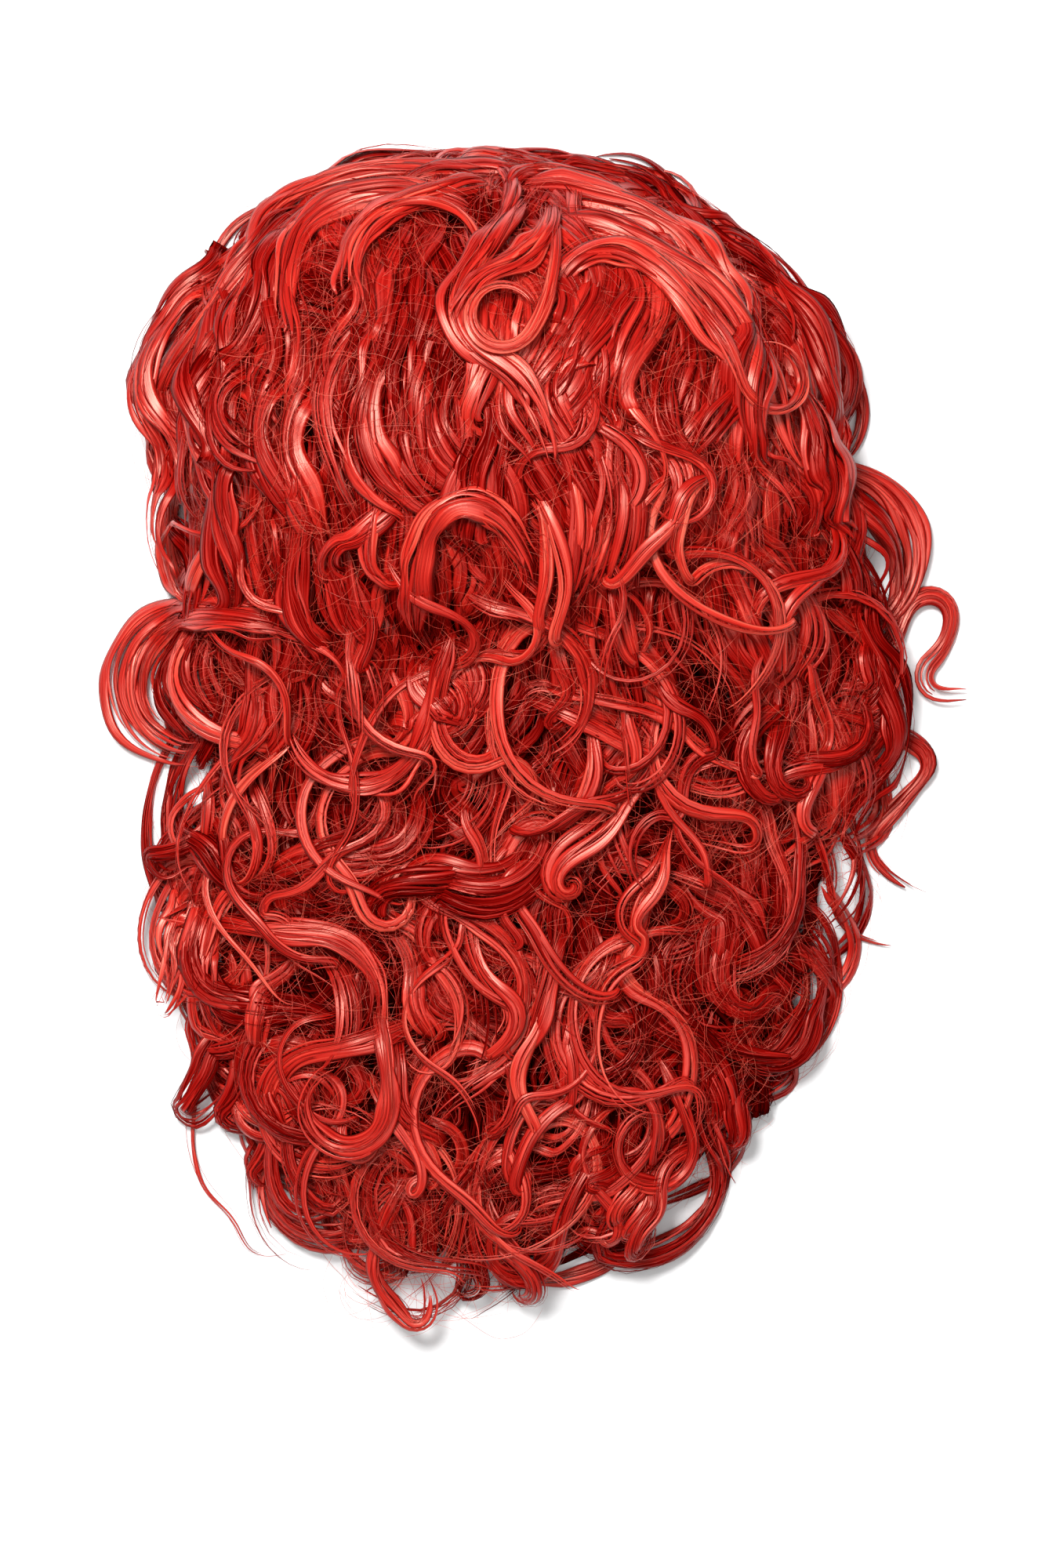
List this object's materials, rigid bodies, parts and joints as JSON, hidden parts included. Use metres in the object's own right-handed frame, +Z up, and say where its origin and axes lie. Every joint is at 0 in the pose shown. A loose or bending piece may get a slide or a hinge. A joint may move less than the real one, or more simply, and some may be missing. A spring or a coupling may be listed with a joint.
{
  "type": "costume wig",
  "caption": "Long curly costume wig lying on its head opening: a soft wefted cap under a mass of glossy ringlets, with folding ear tabs and sliding nape adjusters.",
  "frame": {"origin": "middle of the footprint on the table, at the level that the wig lies on", "axes": "+Z up off the table, +Y from the hair's ends to the front hairline, +X to the wearer's right seen from behind"},
  "size_m": [0.3551, 0.499, 0.0832],
  "materials": {
    "hair": "glossy curled synthetic fibre",
    "cap_net": "open diamond net",
    "band": "hemmed woven band",
    "elastic": "ribbed elastic",
    "weft_tape": "machine-sewn hair tape",
    "crown_patch": "fine woven skin",
    "lining": "soft brushed mesh",
    "stay": "bendable strip",
    "hook": "moulded",
    "label": "blank satin"
  },
  "bodies": {
    "root": {"care_label": "label", "crown_lining": "lining", "crown_patch": "crown_patch", "front_band": "band", "hair_back_left": "hair", "hair_back_right": "hair", "hair_crown": "hair", "hair_ends_left": "hair", "hair_ends_right": "hair", "hair_front_left": "hair", "hair_front_right": "hair", "hair_middle_centre": "hair", "hair_middle_left": "hair", "hair_middle_right": "hair", "hair_side_left": "hair", "hair_side_right": "hair", "hair_temple_left": "hair", "hair_temple_right": "hair", "hair_upper_centre": "hair", "hair_upper_left": "hair", "hair_upper_right": "hair", "loop_tape_left": "elastic", "loop_tape_right": "elastic", "nape_band": "band", "net_back_left": "cap_net", "net_back_right": "cap_net", "net_front": "cap_net", "net_side_left": "cap_net", "net_side_right": "cap_net", "net_temple_left": "cap_net", "net_temple_right": "cap_net", "rib_back_centre": "elastic", "rib_back_left": "elastic", "rib_back_right": "elastic", "rib_front_left": "elastic", "rib_front_right": "elastic", "rib_side_left": "elastic", "rib_side_right": "elastic", "side_band_left": "band", "side_band_right": "band", "strap_sleeve_left": "band", "strap_sleeve_right": "band", "weft_back_1": "weft_tape", "weft_back_2": "weft_tape", "weft_back_3": "weft_tape", "weft_back_4": "weft_tape", "weft_back_5": "weft_tape", "wefts_front": "weft_tape", "wefts_left": "weft_tape", "wefts_right": "weft_tape"},
    "ear_tab_left": {"ear_tab_left": "band", "ear_stay_left": "stay"},
    "ear_tab_right": {"ear_tab_right": "band", "ear_stay_right": "stay"},
    "adjuster_left": {"adjuster_strap_left": "elastic", "adjuster_hook_left": "hook"},
    "adjuster_right": {"adjuster_strap_right": "elastic", "adjuster_hook_right": "hook"}
  },
  "joints": [
    {"name": "ear_tab_left_fold", "type": "hinge", "parent": "root", "child": "ear_tab_left", "pos_m": [-0.0952, 0.138, 0.0019], "axis": [0, -1, 0], "range_deg": [-70, 60]},
    {"name": "ear_tab_right_fold", "type": "hinge", "parent": "root", "child": "ear_tab_right", "pos_m": [0.0792, 0.138, 0.0019], "axis": [0, 1, 0], "range_deg": [-70, 60]},
    {"name": "adjuster_left_travel", "type": "hinge", "parent": "root", "child": "adjuster_left", "pos_m": [-0.008, 0.138, 0.0066], "axis": [0, 0, 1], "range_deg": [0, 14]},
    {"name": "adjuster_right_travel", "type": "hinge", "parent": "root", "child": "adjuster_right", "pos_m": [-0.008, 0.138, 0.0066], "axis": [0, 0, -1], "range_deg": [0, 14]}
  ]
}
